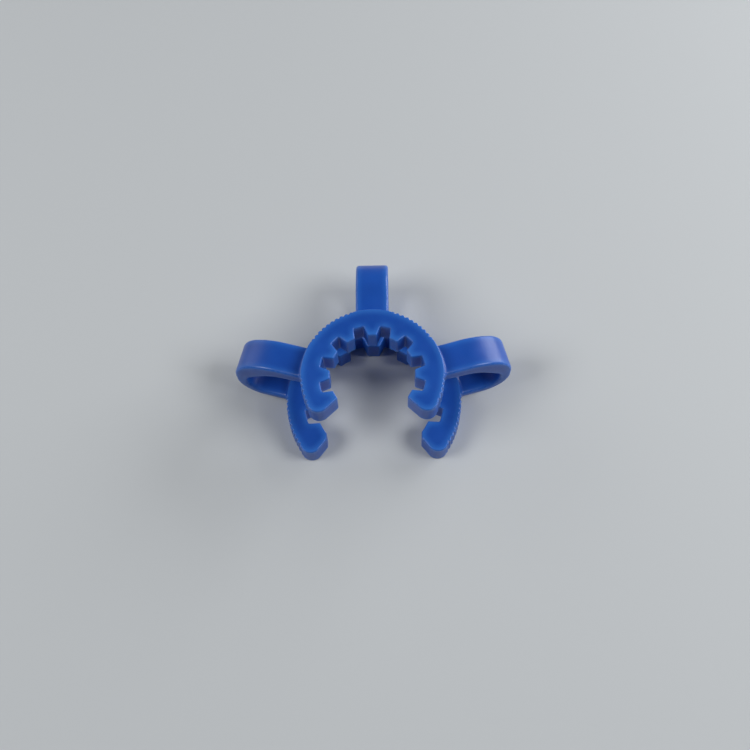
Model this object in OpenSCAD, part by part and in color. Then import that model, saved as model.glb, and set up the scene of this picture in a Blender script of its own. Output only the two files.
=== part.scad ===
// Clip for conical ground glass joints: one moulding of two toothed C-shaped rings,
// a small one for the neck of the cone and a large one for the rim of the socket,
// held apart by three sprung loops. It stands on the large ring, with its mouth towards -Y.

/* [Rings] */
// Overall height over both rings
clip_h = 17.8; // [14.5:0.1:24]
// Thickness of each ring
ring_t = 5; // [3.5:0.1:6]
// Bore over the tooth tips of the small ring
small_bore_d = 16; // [13.5:0.1:20]
// Bore over the tooth tips of the large ring
large_bore_d = 23.2; // [19:0.1:28]
// Solid wall between the tooth gaps and the rim
ring_wall = 3.55; // [2.4:0.05:4.5]

/* [Teeth] */
// Height of a tooth on the small ring
small_tooth_h = 2; // [1:0.1:3]
// Height of a tooth on the large ring
large_tooth_h = 2.2; // [1:0.1:3]
// Tooth gaps round each ring
gap_count = 8; // [4:1:8]
// Angle from one tooth gap to the next
gap_pitch = 30; // [24:0.5:31]
// Angle across the floor of a tooth gap
gap_floor_a = 11.5; // [6:0.1:14]
// Angle across the mouth of a tooth gap
gap_mouth_a = 18.2; // [12:0.1:22]

/* [Arms] */
// Clear mouth between the arms of the small ring
small_mouth = 13.1; // [10:0.1:15]
// Clear mouth between the arms of the large ring
large_mouth = 18.6; // [15:0.1:22]
// Length of the straight sides of the small mouth
small_land = 0.3; // [0:0.1:2]
// Length of the straight sides of the large mouth
large_land = 1.3; // [0:0.1:2]
// Angle from the back of the small ring to the nose of each arm
small_arm_a = 118; // [112:0.5:125]
// Angle from the back of the large ring to the nose of each arm
large_arm_a = 125.5; // [116:0.5:132]
// Radius of the rounded nose of each arm
nose_r = 2.1; // [1:0.1:2.4]

/* [Grip ribs] */
// Distance from rib to rib round both rims, to the nearest whole rib between the loops
rib_pitch = 1.04; // [0.8:0.02:2]
// Radius of the rounded back of a rib
rib_r = 0.45; // [0.3:0.01:0.8]
// Depth of the valleys between the ribs
rib_h = 0.25; // [0.1:0.01:0.4]

/* [Loops] */
// Angle from the back loop to each side loop
loop_spread = 75; // [60:1:90]
// Width of a loop
loop_w = 6.4; // [4:0.1:9]
// Reach of the loops from the axis of the rings
loop_reach = 27.3; // [24:0.1:34]
// Top of the loops below the top of the small ring
loop_drop = 2.05; // [1:0.05:3]
// Bottom of the loops above the bottom of the large ring
loop_lift = 1.8; // [1:0.05:3]
// Thickness of the lower limb
lower_limb_t = 1.8; // [1.5:0.05:3]
// Thickness at the outer end of the bend
bend_t = 2.25; // [1.5:0.05:3]
// How far ahead of the shoulder the underside of the upper limb starts to fall
limb_lead = 2.3; // [0.5:0.1:3]
// Radius on the long edges of a loop
edge_r = 0.6; // [0.2:0.05:0.75]
// Radius of the fillet where a limb grows out of its ring
root_r = 0.7; // [0.2:0.05:1]

/* [Hidden] */
$fn = 64;

small_tip_r = small_bore_d / 2;
small_root_r = small_tip_r + small_tooth_h;
small_rim_r = small_root_r + ring_wall;
large_tip_r = large_bore_d / 2;
large_root_r = large_tip_r + large_tooth_h;
large_rim_r = large_root_r + ring_wall;
small_z = clip_h - ring_t;            // underside of the small ring

far = 100;                            // past everything, for cuts that run out of the part
over = 1;                             // how far a cut or an arm end runs past the tooth tips
lap_a = 10;                           // angle an arm end reaches back into its ring
seat = 1;                             // how far a limb runs into the wall of its ring
bite = 0.01;                          // how far the edge of a root fillet lies inside the rim
shoulder_steps = 5;
crown_steps = 7;
heel_steps = 10;
root_steps = 4;
edge_steps = 3;

// Shares of the loop's height taken by the radii of its bends, and where each bend ends
shoulder_share = 0.79;
crown_share = 0.46;
heel_share = 0.39;
vault_share = 0.68;
corner_share = 0.17;
shoulder_a = 30;
vault_a = 38;

// Loop in its own plane: x away from the ring axis, y up, angles from the top.
// Outside, a wide shoulder runs into a tighter crown, and a heel turns under it.
loop_top = clip_h - loop_drop;
loop_bottom = loop_lift;
loop_span = loop_top - loop_bottom;
shoulder_r = shoulder_share * loop_span;
crown_r = crown_share * loop_span;
heel_r = heel_share * loop_span;
crown_c = [loop_reach - crown_r, loop_top - shoulder_r + (shoulder_r - crown_r) * cos(shoulder_a)];
shoulder_c = crown_c - (shoulder_r - crown_r) * [sin(shoulder_a), cos(shoulder_a)];
heel_c = [loop_reach - heel_r, loop_bottom + heel_r];

// Inside, the hole has a wide vault under the shoulder and a tight corner behind the crown.
hole_reach = loop_reach - bend_t;
vault_r = vault_share * loop_span;
vault_c = [shoulder_c.x - limb_lead, small_z - vault_r];
corner_r = corner_share * loop_span;
vault_end = vault_c + vault_r * [sin(vault_a), cos(vault_a)];
corner_x = hole_reach - corner_r;
corner_c = [corner_x, max(heel_c.y, vault_end.y - corner_r * cos(vault_a)
    - (corner_x + corner_r * sin(vault_a) - vault_end.x) * tan(vault_a))];

// How far out from a rim the sections of a root fillet stand
root_rows = [-seat, for (i = [0 : root_steps]) root_r * (1 - cos(90 * i / root_steps)) - bite];

function polar(r, a) = [r * sin(a), r * cos(a)];      // a counts from the back, +Y
function bow(c, r, a0, a1, n) = curl(c, r, r, a0, a1, n);
function curl(c, r0, r1, a0, a1, n) =
    [for (i = [0 : n]) c + polar(r0 + (r1 - r0) * i / n, a0 + (a1 - a0) * i / n)];
function tail(v) = [for (i = [1 : len(v) - 1]) v[i]];
function start_a(c, r, x) = asin(max(0, (x - c.x) / r));     // where an arc leaves a root fillet behind
function flare(d) = let(e = max(0, d + bite)) root_r - sqrt(max(0, e * (2 * root_r - e)));

// One section of a loop, from a point on its back to the facing point of its hole.
function section(b, h, spread) =
    let(t = norm(b - h), up = (b - h) / t)
    [for (q = [0 : 3], i = [0 : edge_steps])
        let(
            a = q * 90 + i * 90 / edge_steps,
            mid = [loop_w / 2 + spread - edge_r, t / 2 - edge_r],
            sx = (q == 0 || q == 3) ? 1 : -1,
            sy = q < 2 ? 1 : -1,
            x = sx * mid.x + edge_r * cos(a),
            s = h + up * (t / 2 + sy * mid.y + edge_r * sin(a))
        )
        [x, s.x, s.y]];

// A section of a root fillet, bent to stand d out from the rim all the way across.
function root_section(rim_r, d, top, bottom) =
    [for (p = section([d, top], [d, bottom], flare(d)))
        [p.x, p.y + sqrt(rim_r * rim_r - p.x * p.x), p.z]];

// The end of an arm: a short straight land, then the lead-in face that touches a round nose.
// Its inner corners lie inside the bore, which trims them to the tooth tips.
module arm_end(tip_r, rim_r, mouth, land, arm_a) {
    nose = polar(rim_r - nose_r, arm_a);
    corner = [mouth / 2, -sqrt(tip_r * tip_r - mouth * mouth / 4)];
    brow = corner - [0, land];
    away = nose - brow;
    turn = asin(nose_r / norm(away));
    touch = brow + norm(away) * cos(turn) * polar(1, atan2(away.x, away.y) + turn);
    translate(nose) circle(r = nose_r);
    polygon([
        corner + [0, over], brow, touch, nose,
        polar(rim_r - nose_r, arm_a - lap_a),
        polar(tip_r - over, arm_a - lap_a),
    ]);
}

// The gap between two teeth, its flanks drawn on past the tooth tips.
module tooth_gap(tip_r, root_r) {
    floor_end = polar(root_r, gap_floor_a / 2);
    tip = polar(tip_r, gap_mouth_a / 2);
    past = tip + over * (tip - floor_end) / norm(tip - floor_end);
    polygon([past, floor_end, [-floor_end.x, floor_end.y], [-past.x, past.y]]);
}

// Ribs fill each stretch of the rim between two loops, or between a loop and a nose.
// Where a loop grows out of it, the rim is plain to half way across the root fillets.
module rim(rim_r, arm_a) {
    half = asin((loop_w + root_r) / 2 / rim_r);
    circle(r = rim_r - rib_h);
    for (ends = [[half, loop_spread - half], [loop_spread + half, arm_a]]) {
        stretch = max(0, ends[1] - ends[0]);
        count = round(stretch * PI / 180 * rim_r / rib_pitch);
        for (i = [0 : 1 : count - 1], side = [-1, 1])
            translate(polar(rim_r - rib_r, side * (ends[0] + (i + 0.5) * stretch / count)))
                circle(r = rib_r, $fn = 24);
    }
    intersection() {
        circle(r = rim_r);
        for (i = [-1 : 1]) rotate(i * loop_spread)
            polygon([[0, 0], polar(far, half), polar(far, -half)]);
    }
}

module ring_outline(tip_r, root_r, rim_r, mouth, land, arm_a) {
    difference() {
        union() {
            difference() {
                rim(rim_r, arm_a);
                polygon([[0, 0], polar(far, arm_a), [far, -far], [-far, -far], polar(far, -arm_a)]);
            }
            for (side = [0, 1]) mirror([side, 0]) arm_end(tip_r, rim_r, mouth, land, arm_a);
        }
        circle(r = tip_r);
        for (i = [0 : gap_count - 1])
            rotate((i - (gap_count - 1) / 2) * gap_pitch) tooth_gap(tip_r, root_r);
    }
}

module small_ring() {
    translate([0, 0, small_z]) linear_extrude(ring_t)
        ring_outline(small_tip_r, small_root_r, small_rim_r, small_mouth, small_land, small_arm_a);
}

module large_ring() {
    linear_extrude(ring_t)
        ring_outline(large_tip_r, large_root_r, large_rim_r, large_mouth, large_land, large_arm_a);
}

// A sprung loop: rounded oblong sections from its back to the edge of its hole, spread at the roots.
module loop() {
    small_end = small_rim_r + root_r;
    large_end = large_rim_r + root_r;
    back = concat(
        bow(shoulder_c, shoulder_r, start_a(shoulder_c, shoulder_r, small_end), shoulder_a, shoulder_steps),
        tail(bow(crown_c, crown_r, shoulder_a, 90, crown_steps)),
        bow(heel_c, heel_r, 90, 180 - start_a(heel_c, heel_r, large_end), heel_steps)
    );
    hollow_r = heel_r - lower_limb_t;
    hole = concat(
        bow(vault_c, vault_r, start_a(vault_c, vault_r, small_end), vault_a, shoulder_steps),
        bow(corner_c, corner_r, vault_a, 90, crown_steps - 1),
        curl(heel_c, heel_r - bend_t, hollow_r, 90, 180 - start_a(heel_c, hollow_r, large_end), heel_steps)
    );
    rows = concat(
        [for (d = root_rows)
            root_section(small_rim_r, d, loop_top + flare(d), small_z)],
        [for (i = [0 : len(back) - 1])
            section(back[i], hole[i], 0)],
        [for (i = [len(root_rows) - 1 : -1 : 0]) let(d = root_rows[i])
            root_section(large_rim_r, d,
                max(0, loop_bottom - flare(d)), min(ring_t, loop_bottom + lower_limb_t + flare(d)))]
    );
    last = len(rows) - 1;
    cols = len(rows[0]);
    skin = [for (i = [0 : last - 1], j = [0 : cols - 1])
        let(k = (j + 1) % cols)
        [i * cols + j, i * cols + k, (i + 1) * cols + k, (i + 1) * cols + j]];
    ends = [
        [for (j = [cols - 1 : -1 : 0]) j],
        [for (j = [0 : cols - 1]) last * cols + j]
    ];
    polyhedron([for (row = rows, p = row) p], concat(skin, ends));
}

module joint_clip() {
    color("royalblue") {
        small_ring();
        large_ring();
        for (i = [-1 : 1]) rotate(-i * loop_spread) loop();
    }
}

joint_clip();
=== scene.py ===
import math
import bmesh
import bpy
from mathutils import Matrix, Vector


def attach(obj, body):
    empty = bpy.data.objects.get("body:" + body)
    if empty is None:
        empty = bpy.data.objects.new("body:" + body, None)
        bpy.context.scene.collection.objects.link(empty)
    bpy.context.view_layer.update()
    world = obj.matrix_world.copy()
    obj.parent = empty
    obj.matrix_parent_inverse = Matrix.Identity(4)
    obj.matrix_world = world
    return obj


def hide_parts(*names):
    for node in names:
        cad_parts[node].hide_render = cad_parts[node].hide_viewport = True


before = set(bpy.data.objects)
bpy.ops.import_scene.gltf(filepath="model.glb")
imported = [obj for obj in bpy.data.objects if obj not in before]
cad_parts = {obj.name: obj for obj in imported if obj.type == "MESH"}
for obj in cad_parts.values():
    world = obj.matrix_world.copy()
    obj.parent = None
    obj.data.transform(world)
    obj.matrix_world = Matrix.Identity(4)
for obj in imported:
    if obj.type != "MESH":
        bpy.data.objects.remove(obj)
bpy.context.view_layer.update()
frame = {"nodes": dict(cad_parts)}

mm = 0.001
print("frame loaded:", ", ".join(frame["nodes"]))


def hexColor(code):
    # sRGB hex to the linear numbers that shaders take
    parts = [int(code[i:i + 2], 16) / 255 for i in (1, 3, 5)]
    return tuple(c / 12.92 if c <= 0.04045 else ((c + 0.055) / 1.055) ** 2.4 for c in parts) + (1,)


def addNode(tree, kind, settings=None, inputs=None):
    # settings are the node's own; an input takes a value, a socket, a node for its first
    # output, or a list of those where it takes several links
    node = tree.nodes.new(kind)
    for key, value in (settings or {}).items():
        setattr(node, key, value)
    for key, given in (inputs or {}).items():
        for value in given if isinstance(given, list) else [given]:
            if isinstance(value, bpy.types.Node):
                value = value.outputs[0]
            if isinstance(value, bpy.types.NodeSocket):
                tree.links.new(value, node.inputs[key])
            else:
                node.inputs[key].default_value = value
    return node


def addObject(name, data):
    obj = bpy.data.objects.new(name, data)
    bpy.context.scene.collection.objects.link(obj)
    return obj


# camera: in front of the mouth, looking steeply down on the small ring
camera = {
    "aim": (0.505, -0.241, 17.686),   # mm
    "distance": 186.6,
    "elevation": 66.57,
    "turn": 2.44,                     # to the right of straight in front
    "roll": -3.16,
    "lens": 48, "sensor": 36,
    "nearest": 5,                     # mm; anything closer isn't drawn
}


def placeCamera(spec):
    data = bpy.data.cameras.new("viewCamera")
    data.lens = spec["lens"]
    data.sensor_width = spec["sensor"]
    data.clip_start = spec["nearest"] * mm
    obj = addObject("viewCamera", data)
    turn = Matrix.Rotation(math.radians(spec["turn"]), 4, "Z")
    tilt = Matrix.Rotation(math.radians(90 - spec["elevation"]), 4, "X")
    roll = Matrix.Rotation(math.radians(spec["roll"]), 4, "Z")
    back = Matrix.Translation((0, 0, spec["distance"] * mm))
    obj.matrix_world = Matrix.Translation(Vector(spec["aim"]) * mm) @ turn @ tilt @ back @ roll
    bpy.context.scene.camera = obj


placeCamera(camera)
print("camera placed")

# pattern sizes in mm, turned into scales for coordinates in metres
acetalLook = {
    "body": "#1549a4", "streak": "#1c53b0", "flowSize": 7, "flowStretch": (1, 1, 2.5),
    # painted glow: a paler blue painted into the colour on thin teeth and near edges, in place of light
    # passing through the plastic
    "paintedGlowColour": "#3f86dc", "paintedGlowShare": 0.6, "paintedGlowDepth": 1.5, "paintedGlowSamples": 16,
    "leastBacking": 0.4,     # where the glow is at its full share
    # paler roundings: partly wear on the edges, partly a painted highlight along them
    "edge": "#3f74cc", "wearAndHighlightShare": 0.35,
    "roughness": 0.34, "roughnessSwing": 0.03, "polish": 0.06,
    "swellSize": 3.5, "swellHeight": 0.02, "swellStrength": 0.5,
    "grainSize": 0.18, "grainHeight": 0.006, "grainStrength": 0.4,
    "noiseRange": (0.3, 0.7),    # which noise seldom leaves
    "ior": 1.48,
    "scatter": 0.1, "scatterReach": 0.6, "scatterTint": (0.5, 0.7, 1.0),
}


def mouldedAcetal(look):
    # acetal resin dyed in the mass and injected into a fine spark-eroded steel mould:
    # an even deep blue, a satin face with soft broad highlights, a painted glow that
    # makes teeth and rims paler in place of light leaking out of them, roundings painted
    # paler, partly for wear and partly as a painted highlight, and roundings that the
    # mould's polish leaves smoother
    mat = bpy.data.materials.new("mouldedAcetal")
    mat.use_nodes = True
    tree = mat.node_tree

    def pattern(size, detail, stretch=(1, 1, 1)):
        place = addNode(tree, "ShaderNodeTexCoord").outputs["Object"]
        flow = addNode(tree, "ShaderNodeMapping", inputs={"Vector": place, "Scale": stretch})
        return addNode(tree, "ShaderNodeTexNoise",
                       inputs={"Vector": flow, "Scale": 1 / (size * mm), "Detail": detail})

    # flow marks: the melt runs round the rings, so the marks lie flat
    low, high = look["noiseRange"]
    flow = addNode(tree, "ShaderNodeMapRange", inputs={
        "Value": pattern(look["flowSize"], 3, look["flowStretch"]), "From Min": low, "From Max": high})

    # how much solid lies within the glow depth under the face: 1 in the middle, less by an edge; the
    # painted glow follows it
    backing = addNode(tree, "ShaderNodeAmbientOcclusion",
                      {"inside": True, "only_local": True, "samples": look["paintedGlowSamples"]},
                      {"Distance": look["paintedGlowDepth"] * mm}).outputs["AO"]
    # painted glow: the colour is painted paler where little solid backs the face
    paintedGlowMask = addNode(tree, "ShaderNodeMapRange", inputs={
        "Value": backing, "From Min": 1.0, "From Max": look["leastBacking"],
        "To Min": 0.0, "To Max": look["paintedGlowShare"]})

    # flow streaks, the painted glow and the paler roundings (partly wear, partly painted highlight), laid
    # over the body colour in turn
    rounding = addNode(tree, "ShaderNodeAttribute", {"attribute_name": "edge"}).outputs["Fac"]
    # paler roundings: partly wear, partly a painted highlight on the edges
    paleWearAndHighlight = addNode(tree, "ShaderNodeMath", {"operation": "MULTIPLY"}, {0: rounding, 1: look["wearAndHighlightShare"]})
    colour = hexColor(look["body"])
    for share, over in ((flow, "streak"), (paintedGlowMask, "paintedGlowColour"), (paleWearAndHighlight, "edge")):
        # inputs 6 and 7 are the two colours, output 2 the mixed one
        colour = addNode(tree, "ShaderNodeMix", {"data_type": "RGBA"}, {
            "Factor": share, 6: colour, 7: hexColor(look[over])}).outputs[2]

    # the roughness varies in patches a third the size of the flow marks, less on roundings
    rough, swing = look["roughness"], look["roughnessSwing"]
    patches = addNode(tree, "ShaderNodeMapRange", inputs={
        "Value": pattern(look["flowSize"] / 3, 2), "From Min": low, "From Max": high,
        "To Min": rough - swing, "To Max": rough + swing})
    polish = addNode(tree, "ShaderNodeMath", {"operation": "MULTIPLY"}, {0: rounding, 1: look["polish"]})
    satin = addNode(tree, "ShaderNodeMath", {"operation": "SUBTRACT"}, {0: patches, 1: polish})

    # the slow swell is shrinkage over the thick parts; the grain is the eroded steel,
    # drawn some five times coarser than the real grit so that it shows
    swell = addNode(tree, "ShaderNodeBump", inputs={
        "Height": pattern(look["swellSize"], 1), "Strength": look["swellStrength"],
        "Distance": look["swellHeight"] * mm})
    grain = addNode(tree, "ShaderNodeBump", inputs={
        "Height": pattern(look["grainSize"], 2), "Strength": look["grainStrength"],
        "Distance": look["grainHeight"] * mm, "Normal": swell})
    shader = tree.nodes["Principled BSDF"]
    tree.links.new(colour, shader.inputs["Base Color"])
    tree.links.new(satin.outputs[0], shader.inputs["Roughness"])
    tree.links.new(grain.outputs[0], shader.inputs["Normal"])
    shader.inputs["IOR"].default_value = look["ior"]
    shader.inputs["Subsurface Weight"].default_value = look["scatter"]
    shader.inputs["Subsurface Radius"].default_value = look["scatterTint"]
    shader.inputs["Subsurface Scale"].default_value = look["scatterReach"] * mm
    return mat


acetal = mouldedAcetal(acetalLook)
print("material made:", acetal.name)

# rings: two flat C shapes, seen from above; sizes in mm, angles in degrees from the
# back, +Y, either way round
ringShape = {
    "thickness": 5.0,
    "wall": 3.55,            # solid plastic outside the tooth gaps
    "gapPitch": 30, "gapFloor": 11.5, "gapMouth": 18.2, "gapsPerSide": 4,
    "noseRadius": 2.1,
    "cornerRadius": 0.34,    # on the teeth and the arms, seen from above
    "edgeRadius": 0.25,      # along the top and bottom of every wall
    "support": 0.5,          # distance of the extra points that keep flat faces flat
    "ribPitch": 1.04, "ribRadius": 0.45, "ribDepth": 0.25, "ribFade": 0.3,
    "ribSteps": 14, "cornerSteps": 5, "edgeSteps": 4,
    "plainStep": 0.349,      # along the rim where it has no ribs
    "noseStep": 6, "tipStep": 4,      # degrees
    "weld": 0.002,           # points closer than this become one
}
rings = [
    {"name": "smallRing", "bottom": 12.8, "bore": 16.0, "tooth": 2.0,
     "mouth": 13.1, "land": 0.3, "arm": 118},
    {"name": "largeRing", "bottom": 0.0, "bore": 23.2, "tooth": 2.2,
     "mouth": 18.6, "land": 1.3, "arm": 125.48},
]
# sprung loops; their sizes stand here because the ribs on the rims leave room for them
loopShape = {
    "spread": 75,            # angle from the back loop to each side loop
    "width": 6.4, "reach": 27.28, "top": 15.75, "bottom": 1.8,
    "shoulder": 0.79, "crown": 0.46, "heel": 0.39,   # outer radii as shares of the height
    "vault": 0.68, "corner": 0.17,                   # radii of the hole, the same way
    "shoulderEnd": 30, "vaultEnd": 38,
    "lead": 2.3, "lowerLimb": 1.8, "bend": 2.25,
    "edgeRadius": 0.6, "rootRadius": 0.7,
    "seat": 1.0,             # how far the limbs reach into the rings
    "hair": 0.01,            # the fillets start this far inside the wall, for a clean union
    "seatGap": 0.3, "filletGap": 0.05,   # how far the upper limb's lower face is above the small ring's
    "stepAngle": 3, "rootStep": 15, "edgeSteps": 6,
    "flatSpans": 8,          # the flats are split so that they can bend round a rim
    "weld": 0.004,
}


def polar(radius, angle):
    return Vector((radius * math.sin(math.radians(angle)), radius * math.cos(math.radians(angle))))


def angleOf(point):
    return math.degrees(math.atan2(point.x, point.y))


def ringRadii(ring):
    tip = ring["bore"] / 2
    return tip, tip + ring["tooth"], tip + ring["tooth"] + ringShape["wall"]


def rimPoints(ring):
    # whole ribs fill each stretch between two loops, or between a loop and a nose;
    # elsewhere the rim is plain. Points are listed as in ringOutline
    rim = ringRadii(ring)[2]
    half = math.degrees(math.asin((loopShape["width"] + loopShape["rootRadius"]) / 2 / rim))
    spread = loopShape["spread"]
    points = []
    last = 0
    for start, end in ((half, spread - half), (spread + half, ring["arm"])):
        # the plain stretch before the ribs, then the ribs, which fade in and out
        plain = max(1, round(math.radians(start - last) * rim / ringShape["plainStep"]))
        points += [(polar(rim, last + (start - last) * i / plain), 0, 0, 0) for i in range(plain)]
        length = math.radians(end - start) * rim
        ribs = round(length / ringShape["ribPitch"])
        count = ribs * ringShape["ribSteps"]
        for i in range(count):
            room = min(i, count - i) / count * length / ringShape["ribFade"]
            share = 0.5 - 0.5 * math.cos(math.pi * min(1, room))
            place = polar(rim, start + (end - start) * i / count)
            points.append((place, 0, share, i / ringShape["ribSteps"]))
        last = end
    return points + [(polar(rim, last), 0, 0, 0)]


def arcPoints(centre, radius, start, end, step):
    # the points between the two ends
    count = max(1, math.ceil(abs(end - start) / step))
    turns = [start + (end - start) * i / count for i in range(1, count)]
    return [(centre + polar(radius, turn), 0, 0, 0) for turn in turns]


def straightPoints(start, end):
    # one point near each end, where there is room for both
    along = (end - start).normalized() * ringShape["support"]
    if (end - start).length <= 3 * along.length:
        return []
    return [(p, 0, 0, 0) for p in (start + along, end - along)]


def ringOutline(ring):
    # down the right side of the rim, round the arm and back along the teeth, then mirrored;
    # each point is its place, the radius of its corner, its share of the ribs' depth and
    # how many ribs it is along
    tip, root, rim = ringRadii(ring)
    bend, centre = ringShape["cornerRadius"], Vector((0, 0))
    points = rimPoints(ring)
    noseRadius = ringShape["noseRadius"]
    nose = polar(rim - noseRadius, ring["arm"])
    inner = Vector((ring["mouth"] / 2, -math.sqrt(tip ** 2 - (ring["mouth"] / 2) ** 2)))
    brow = inner - Vector((0, ring["land"]))
    away = nose - brow
    turn = math.degrees(math.asin(noseRadius / away.length))
    touch = brow + math.sqrt(away.length ** 2 - noseRadius ** 2) * polar(1, angleOf(away) + turn)
    noseEnd = angleOf(touch - nose) % 360
    points += arcPoints(nose, noseRadius, ring["arm"], noseEnd, ringShape["noseStep"])
    points += [(touch, 0, 0, 0)] + straightPoints(touch, brow)
    points += [(brow, bend, 0, 0), (inner, bend, 0, 0)]
    last = angleOf(inner)
    for i in reversed(range(ringShape["gapsPerSide"])):
        middle = (i + 0.5) * ringShape["gapPitch"]
        mouth, floor = ringShape["gapMouth"] / 2, ringShape["gapFloor"] / 2
        corners = [polar(tip, middle + mouth), polar(root, middle + floor),
                   polar(root, middle - floor), polar(tip, middle - mouth)]
        points += arcPoints(centre, tip, last, middle + mouth, ringShape["tipStep"])
        points += [(corners[0], bend, 0, 0)]
        for start, end in zip(corners, corners[1:]):
            points += straightPoints(start, end) + [(end, bend, 0, 0)]
        last = middle - mouth
    points += arcPoints(centre, tip, last, -last, ringShape["tipStep"])

    # points this close to the middle line aren't doubled
    close = 1e-6
    points = [p for p in points if p[0].x > -close]
    return points + [(Vector((-p.x, p.y)), *rest) for p, *rest in reversed(points) if p.x > close]


def outlineObject(ring):
    outline = ringOutline(ring)
    count = len(outline)
    mesh = bpy.data.meshes.new(ring["name"])
    mesh.from_pydata([(p.x * mm, p.y * mm, 0) for p, *rest in outline],
                     [(i, (i + 1) % count) for i in range(count)], [])
    for i, name in enumerate(("corner", "ribShare", "ribTurn"), 1):
        scale = mm if name == "corner" else 1
        values = mesh.attributes.new(name, "FLOAT", "POINT").data
        values.foreach_set("value", [p[i] * scale for p in outline])
    return addObject(ring["name"], mesh)


def newTree(name, sockets):
    tree = bpy.data.node_groups.new(name, "GeometryNodeTree")
    tree.interface.new_socket("Geometry", in_out="INPUT", socket_type="NodeSocketGeometry")
    for label, kind in sockets:
        tree.interface.new_socket(label, in_out="INPUT", socket_type="NodeSocket" + kind)
    tree.interface.new_socket("Geometry", in_out="OUTPUT", socket_type="NodeSocketGeometry")
    return tree, tree.nodes.new("NodeGroupInput").outputs


# the sums in the ring's tree: result, operation and its values, which are numbers, earlier
# results, inputs of the tree or what is read from the points
ringSums = [
    # each rib is a round bar; the groove between two is as deep as the bars leave it, but
    # no deeper than the rib depth
    ("halfOn", "ADD", "ribTurn", 0.5),
    ("offCrestTurns", "PINGPONG", "halfOn", 0.5),
    ("offCrest", "MULTIPLY", "offCrestTurns", "Rib Pitch"),
    ("offCrestSquare", "POWER", "offCrest", 2.0),
    ("barSquare", "POWER", "Rib Radius", 2.0),
    ("riseSquare", "SUBTRACT", "barSquare", "offCrestSquare"),
    ("barOnly", "MAXIMUM", 0.0, "riseSquare"),
    ("rise", "SQRT", "barOnly"),
    ("groove", "SUBTRACT", "Rib Radius", "rise"),
    ("depth", "MINIMUM", "Rib Depth", "groove"),
    ("fadedDepth", "MULTIPLY", "depth", "ribShare"),
    ("push", "MULTIPLY", "fadedDepth", -1.0),
    # wall profile, six points from the top down: the first and last stand in from the
    # outline by the edge radius, the second and fifth are the corners that get rounded,
    # and the middle two, 2.2 edge radii from those, keep the face between them flat
    ("fromMiddle", "SUBTRACT", "index", 2.5),
    ("steps", "ABSOLUTE", "fromMiddle"),
    ("ends", "GREATER_THAN", "steps", 2.0),
    ("standIn", "MULTIPLY", "ends", "Edge Radius"),
    ("upper", "LESS_THAN", "index", 2.5),
    ("upperTwice", "MULTIPLY", "upper", 2.0),
    ("upOrDown", "SUBTRACT", "upperTwice", 1.0),
    ("middle", "COMPARE", "index", 2.5, 0.6),
    ("towardsMiddle", "MULTIPLY", "Edge Radius", -2.2),
    ("middleOnly", "MULTIPLY", "middle", "towardsMiddle"),
    ("inset", "MULTIPLY", "upOrDown", "middleOnly"),
    ("face", "MULTIPLY", "upper", "Thickness"),
    ("level", "ADD", "face", "inset"),
    ("height", "MULTIPLY", "level", -1.0),    # the sweep turns the profile's Y downwards
    # how much of a rounding each point is: near 1 halfway round it, 0 where it meets the flats
    ("part", "DIVIDE", "across", "Edge Radius"),
    ("fourParts", "MULTIPLY", "part", 4.0),
    ("partLeft", "SUBTRACT", 1.0, "part"),
    ("edge", "MULTIPLY", "fourParts", "partLeft"),
]


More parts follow.
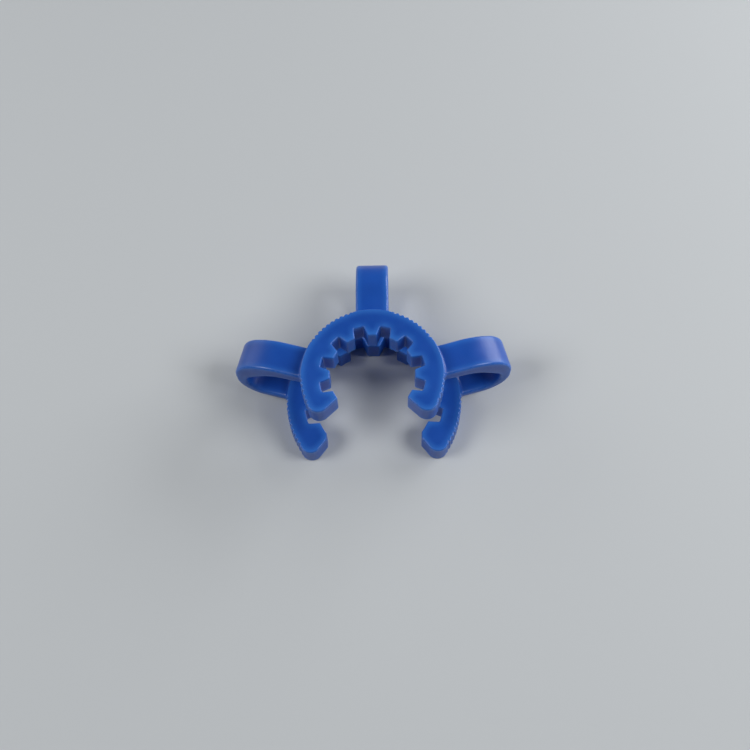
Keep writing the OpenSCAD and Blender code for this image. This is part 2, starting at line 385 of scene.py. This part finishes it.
def ringTree():
    # outline to ring: ribs pressed into the rim, corners rounded, wall swept round, then
    # top and bottom filled
    tree, given = newTree("toothedRing", [
        ("Thickness", "Float"), ("Bottom", "Float"), ("Edge Radius", "Float"),
        ("Rib Pitch", "Float"), ("Rib Radius", "Float"), ("Rib Depth", "Float"),
        ("Material", "Material")])
    known = {socket.name: socket for socket in given}
    for name in ("corner", "ribShare", "ribTurn"):
        read = addNode(tree, "GeometryNodeInputNamedAttribute", inputs={"Name": name})
        known[name] = read.outputs["Attribute"]
    place = addNode(tree, "GeometryNodeInputPosition")
    known["across"] = addNode(tree, "ShaderNodeSeparateXYZ", inputs={0: place}).outputs["X"]
    known["index"] = addNode(tree, "GeometryNodeInputIndex")
    for name, operation, *values in ringSums:
        known[name] = addNode(tree, "ShaderNodeMath", {"operation": operation},
                              {i: known.get(value, value) for i, value in enumerate(values)})

    # ribs and corners
    radial = addNode(tree, "ShaderNodeVectorMath", {"operation": "NORMALIZE"}, {0: place})
    pressed = addNode(tree, "ShaderNodeVectorMath", {"operation": "SCALE"},
                      {0: radial, "Scale": known["push"]})
    ribs = addNode(tree, "GeometryNodeSetPosition",
                   inputs={"Geometry": given["Geometry"], "Offset": pressed})
    path = addNode(tree, "GeometryNodeMeshToCurve", inputs={"Mesh": ribs})
    rounded = addNode(tree, "GeometryNodeFilletCurve", {"mode": "POLY"}, {
        "Curve": path, "Count": ringShape["cornerSteps"],
        "Radius": known["corner"], "Limit Radius": True})
    outline = addNode(tree, "GeometryNodeSetCurveNormal", {"mode": "Z_UP"}, {"Curve": rounded})

    # wall
    line = addNode(tree, "GeometryNodeMeshLine", inputs={"Count": 6})
    spot = addNode(tree, "ShaderNodeCombineXYZ", inputs={"X": known["standIn"], "Y": known["height"]})
    shaped = addNode(tree, "GeometryNodeSetPosition", inputs={"Geometry": line, "Position": spot})
    sharp = addNode(tree, "GeometryNodeMeshToCurve", inputs={"Mesh": shaped})
    profile = addNode(tree, "GeometryNodeFilletCurve", {"mode": "POLY"}, {
        "Curve": sharp, "Count": ringShape["edgeSteps"],
        "Radius": given["Edge Radius"], "Limit Radius": True})
    marked = addNode(tree, "GeometryNodeStoreNamedAttribute", {"data_type": "FLOAT", "domain": "POINT"},
                     {"Geometry": profile, "Name": "edge", "Value": known["edge"]})
    wall = addNode(tree, "GeometryNodeCurveToMesh", inputs={"Curve": outline, "Profile Curve": marked})
    outward = addNode(tree, "GeometryNodeFlipFaces", inputs={"Mesh": wall})
    walls = addNode(tree, "GeometryNodeSetShadeSmooth",
                    inputs={"Geometry": outward, "Shade Smooth": True})

    # top and bottom
    normal = addNode(tree, "GeometryNodeInputNormal")
    inward = addNode(tree, "ShaderNodeVectorMath", {"operation": "SCALE"},
                     {0: normal, "Scale": given["Edge Radius"]})
    inner = addNode(tree, "GeometryNodeSetPosition", inputs={"Geometry": outline, "Offset": inward})
    flat = addNode(tree, "GeometryNodeFillCurve", {"mode": "NGONS"}, {"Curve": inner})
    plain = addNode(tree, "GeometryNodeSetShadeSmooth", inputs={"Geometry": flat, "Shade Smooth": False})
    lift = addNode(tree, "ShaderNodeCombineXYZ", inputs={"Z": given["Thickness"]})
    top = addNode(tree, "GeometryNodeTransform", inputs={"Geometry": plain, "Translation": lift})
    under = addNode(tree, "GeometryNodeFlipFaces", inputs={"Mesh": plain})
    joined = addNode(tree, "GeometryNodeJoinGeometry", inputs={"Geometry": [under, top, walls]})
    closed = addNode(tree, "GeometryNodeMergeByDistance",
                     inputs={"Geometry": joined, "Distance": ringShape["weld"] * mm})
    drop = addNode(tree, "ShaderNodeCombineXYZ", inputs={"Z": given["Bottom"]})
    placed = addNode(tree, "GeometryNodeTransform", inputs={"Geometry": closed, "Translation": drop})
    solid = addNode(tree, "GeometryNodeRealizeInstances", inputs={"Geometry": placed})
    dressed = addNode(tree, "GeometryNodeSetMaterial",
                      inputs={"Geometry": solid, "Material": given["Material"]})
    addNode(tree, "NodeGroupOutput", inputs={0: dressed})
    return tree


def runTree(obj, tree, values):
    # sets the inputs by identifier, then swaps the object's mesh for the result
    modifier = obj.modifiers.new(tree.name, "NODES")
    modifier.node_group = tree
    sockets = {s.name: s.identifier for s in tree.interface.items_tree if s.in_out == "INPUT"}
    for name, value in values.items():
        modifier[sockets[name]] = value
    bpy.context.view_layer.update()
    done = bpy.data.meshes.new_from_object(obj.evaluated_get(bpy.context.evaluated_depsgraph_get()))
    obj.modifiers.remove(modifier)
    obj.data = done
    done.name = obj.name
    return obj


tree = ringTree()
ringPieces = []
for ring in rings:
    piece = outlineObject(ring)
    runTree(piece, tree, {
        "Thickness": ringShape["thickness"] * mm, "Bottom": ring["bottom"] * mm,
        "Edge Radius": ringShape["edgeRadius"] * mm,
        "Rib Pitch": ringShape["ribPitch"] * mm, "Rib Radius": ringShape["ribRadius"] * mm,
        "Rib Depth": ringShape["ribDepth"] * mm, "Material": acetal})
    ringPieces.append(piece)
    print(piece.name, "made:", len(piece.data.polygons), "faces")


# one loop, lofted from rounded oblong sections; each runs from a point on its back to one in its hole
def loopRows(shape):
    # a row is its point on the back, the one in the hole, the spread of the fillet and,
    # in a root fillet, the rim's radius: there the points are out from the rim, not the axis
    span = shape["top"] - shape["bottom"]
    bottom = rings[0]["bottom"]
    smallRim, largeRim = (ringRadii(ring)[2] for ring in rings)
    root, shoulderEnd, vaultEnd = (shape[key] for key in ("rootRadius", "shoulderEnd", "vaultEnd"))
    shoulder, crown, heel = (shape[key] * span for key in ("shoulder", "crown", "heel"))
    vault, corner = shape["vault"] * span, shape["corner"] * span
    crownAt = Vector((shape["reach"] - crown,
                      shape["top"] - shoulder + (shoulder - crown) * math.cos(math.radians(shoulderEnd))))
    shoulderAt = crownAt - polar(shoulder - crown, shoulderEnd)
    heelAt = Vector((shape["reach"] - heel, shape["bottom"] + heel))
    vaultAt = Vector((shoulderAt.x - shape["lead"], bottom - vault))
    vaultStop = vaultAt + polar(vault, vaultEnd)

    # the corner of the hole lies on the line that carries on where the vault stops
    cornerX = shape["reach"] - shape["bend"] - corner
    over = corner * math.sin(math.radians(vaultEnd))
    down = corner * math.cos(math.radians(vaultEnd))
    fall = (cornerX + over - vaultStop.x) * math.tan(math.radians(vaultEnd))
    cornerAt = Vector((cornerX, max(heelAt.y, vaultStop.y - down - fall)))

    def bow(centre, r0, r1, a0, a1, count):
        # an arc whose radius may change on the way, both ends included
        places = range(count + 1)
        return [centre + polar(r0 + (r1 - r0) * i / count, a0 + (a1 - a0) * i / count) for i in places]

    def leave(centre, radius, rim):
        # the angle at which an arc comes clear of a root fillet
        return math.degrees(math.asin(max(0, (rim + root - centre.x) / radius)))

    bendRadius, hollow = heel - shape["bend"], heel - shape["lowerLimb"]
    steps = [math.ceil(a / shape["stepAngle"]) for a in (shoulderEnd, 90 - shoulderEnd, 90)]
    clear = leave(shoulderAt, shoulder, smallRim)
    back = bow(shoulderAt, shoulder, shoulder, clear, shoulderEnd, steps[0])
    back += bow(crownAt, crown, crown, shoulderEnd, 90, steps[1])[1:]
    back += bow(heelAt, heel, heel, 90, 180 - leave(heelAt, heel, largeRim), steps[2])
    hole = bow(vaultAt, vault, vault, leave(vaultAt, vault, smallRim), vaultEnd, steps[0])
    hole += bow(cornerAt, corner, corner, vaultEnd, 90, steps[1] - 1)
    hole += bow(heelAt, bendRadius, hollow, 90, 180 - leave(heelAt, hollow, largeRim), steps[2])

    # root fillet: how far from the rim, how much wider than the limb, and how far the
    # upper limb's lower face is above the ring's
    fillet = [(-shape["seat"], root, shape["seatGap"])]
    for a in range(0, 91, shape["rootStep"]):
        out = root * (1 - math.cos(math.radians(a)))
        flare = root - math.sqrt(out * (2 * root - out))
        fillet.append((out - shape["hair"], flare, shape["filletGap"]))
    rows = []
    for d, f, gap in fillet:
        rows.append((Vector((d, shape["top"] + f)), Vector((d, bottom + gap)), f, smallRim))
    rows += [(b, h, 0, None) for b, h in zip(back, hole)]
    for d, f, _ in reversed(fillet):
        limbTop = shape["bottom"] + shape["lowerLimb"] + f
        rows.append((Vector((d, shape["bottom"] - f)), Vector((d, limbTop)), f, largeRim))
    return rows


def roundedOblong(width, height, radius, steps, spans):
    # clockwise from the top's left end, each point with how much of a rounding it is
    halfX, halfY = width / 2 - radius, height / 2 - radius
    points = []
    for sx, sy, start in ((1, 1, 0), (1, -1, 90), (-1, -1, 180), (-1, 1, 270)):
        centre = Vector((sx * halfX, sy * halfY))
        if start in (0, 180):
            for i in range(1, spans):
                points.append((centre + Vector((-2 * sx * halfX * (1 - i / spans), sy * radius)), 0))
        for i in range(steps + 1):
            turn = i / steps
            points.append((centre + polar(radius, start + 90 * turn), math.sin(math.pi * turn)))
    return points


def loopObject(shape):
    bm = bmesh.new()
    edgeLayer = bm.verts.layers.float.new("edge")
    lines = []
    for back, hole, spread, rim in loopRows(shape):
        thick = (back - hole).length
        up = (back - hole) / thick
        middle = (back + hole) / 2
        section = roundedOblong(shape["width"] + 2 * spread, thick, shape["edgeRadius"],
                                shape["edgeSteps"], shape["flatSpans"])
        line = []
        for point, edge in section:
            at = middle + up * point.y
            out = at.x + (math.sqrt(rim ** 2 - point.x ** 2) if rim else 0)
            vert = bm.verts.new((point.x * mm, out * mm, at.y * mm))
            vert[edgeLayer] = edge
            line.append(vert)
        lines.append(line)
    count = len(lines[0])
    for a, b in zip(lines, lines[1:]):
        for i in range(count):
            bm.faces.new((a[i], a[(i + 1) % count], b[(i + 1) % count], b[i]))
    bm.faces.new(lines[0])
    bm.faces.new(lines[-1])
    bmesh.ops.recalc_face_normals(bm, faces=bm.faces)
    for face in bm.faces:
        face.smooth = True
    mesh = bpy.data.meshes.new("sprungLoop")
    bm.to_mesh(mesh)
    bm.free()
    return addObject("sprungLoop", mesh)


def clipTree():
    # three loops round the axis, made one solid with the two rings
    tree, given = newTree("mouldedClip", [
        ("Large Ring", "Object"), ("Loop", "Object"), ("Loop Spread", "Float"), ("Material", "Material")])
    largeInfo = addNode(tree, "GeometryNodeObjectInfo", inputs={"Object": given["Large Ring"]})
    loopInfo = addNode(tree, "GeometryNodeObjectInfo", inputs={"Object": given["Loop"]})
    small, large, loop = given["Geometry"], largeInfo.outputs["Geometry"], loopInfo.outputs["Geometry"]
    spots = addNode(tree, "GeometryNodeMeshLine", inputs={"Count": 3, "Offset": (0, 0, 0)})
    number = addNode(tree, "GeometryNodeInputIndex")
    side = addNode(tree, "ShaderNodeMath", {"operation": "SUBTRACT"}, {0: number, 1: 1.0})
    turned = addNode(tree, "ShaderNodeMath", {"operation": "MULTIPLY"},
                     {0: side, 1: given["Loop Spread"]})
    spin = addNode(tree, "ShaderNodeCombineXYZ", inputs={"Z": turned})
    rotation = addNode(tree, "FunctionNodeEulerToRotation", inputs={"Euler": spin})
    loops = addNode(tree, "GeometryNodeInstanceOnPoints",
                    inputs={"Points": spots, "Instance": loop, "Rotation": rotation})
    real = addNode(tree, "GeometryNodeRealizeInstances", inputs={"Geometry": loops})
    fused = addNode(tree, "GeometryNodeMeshBoolean", {"operation": "UNION", "solver": "EXACT"},
                    {"Mesh 2": [small, large, real]})
    clean = addNode(tree, "GeometryNodeMergeByDistance",
                    inputs={"Geometry": fused, "Distance": loopShape["weld"] * mm})

    # the union mixes up what is stored on the points, so the roundings are read again
    # from the loose pieces
    loose = addNode(tree, "GeometryNodeJoinGeometry", inputs={"Geometry": [real, large, small]})
    edge = addNode(tree, "GeometryNodeInputNamedAttribute", inputs={"Name": "edge"}).outputs["Attribute"]
    nearest = addNode(tree, "GeometryNodeSampleNearestSurface", {"data_type": "FLOAT"},
                      {"Mesh": loose, "Value": edge}).outputs["Value"]
    marked = addNode(tree, "GeometryNodeStoreNamedAttribute", {"data_type": "FLOAT", "domain": "POINT"},
                     {"Geometry": clean, "Name": "edge", "Value": nearest})
    solid = addNode(tree, "GeometryNodeRealizeInstances", inputs={"Geometry": marked})
    dressed = addNode(tree, "GeometryNodeSetMaterial",
                      inputs={"Geometry": solid, "Material": given["Material"]})
    addNode(tree, "NodeGroupOutput", inputs={0: dressed})
    return tree


loop = loopObject(loopShape)
print(loop.name, "made:", len(loop.data.polygons), "faces")
clip, largeRing = ringPieces
runTree(clip, clipTree(), {"Large Ring": largeRing, "Loop": loop, "Material": acetal,
                           "Loop Spread": math.radians(loopShape["spread"])})
for spare in (largeRing, loop):
    bpy.data.objects.remove(spare)
clip.name = "clipMoulding"
print("clip made:", len(clip.data.polygons), "faces")
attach(clip, "root")
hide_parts("joint_clip")

# floor, world and lamps
stageLook = {
    "floor": "#c6cacd", "floorRoughness": 0.8, "floorHalf": 4,    # metres
    "world": "#9aa0a6", "worldStrength": 0.1,
}
lamps = [
    # name; place, aim and size in metres; watts
    ("overLeft", (-0.38, -0.08, 0.42), (0, 0, 0), (0.25, 0.25), 1.3),
    ("overRight", (0.38, -0.08, 0.42), (0, 0, 0), (0.25, 0.25), 1.4),
    ("rightBack", (0.40, 0.29, 0.16), (0, 0, 0.01), (0.45, 0.30), 2.0),
    ("leftBack", (-0.40, 0.29, 0.16), (0, 0, 0.01), (0.45, 0.30), 0.5),
]


def makeFloor():
    mesh = bpy.data.meshes.new("floor")
    half = stageLook["floorHalf"]
    corners = [(-half, -half, 0), (half, -half, 0), (half, half, 0), (-half, half, 0)]
    mesh.from_pydata(corners, [], [(0, 1, 2, 3)])
    floor = addObject("floor", mesh)
    mat = bpy.data.materials.new("paintedBoard")
    mat.use_nodes = True
    shader = mat.node_tree.nodes["Principled BSDF"]
    shader.inputs["Base Color"].default_value = hexColor(stageLook["floor"])
    shader.inputs["Roughness"].default_value = stageLook["floorRoughness"]
    mesh.materials.append(mat)


def areaLamp(name, place, aim, size, power):
    data = bpy.data.lights.new(name, "AREA")
    data.shape = "RECTANGLE"
    data.size, data.size_y = size
    data.energy = power
    obj = addObject(name, data)
    obj.location = place
    obj.rotation_euler = (Vector(aim) - Vector(place)).to_track_quat("-Z", "Y").to_euler()


makeFloor()
world = bpy.data.worlds.new("studio")
bpy.context.scene.world = world
world.use_nodes = True
background = world.node_tree.nodes["Background"]
background.inputs["Color"].default_value = hexColor(stageLook["world"])
background.inputs["Strength"].default_value = stageLook["worldStrength"]
for lamp in lamps:
    areaLamp(*lamp)
bpy.context.scene.view_settings.view_transform = "Standard"
print("stage and lamps done")
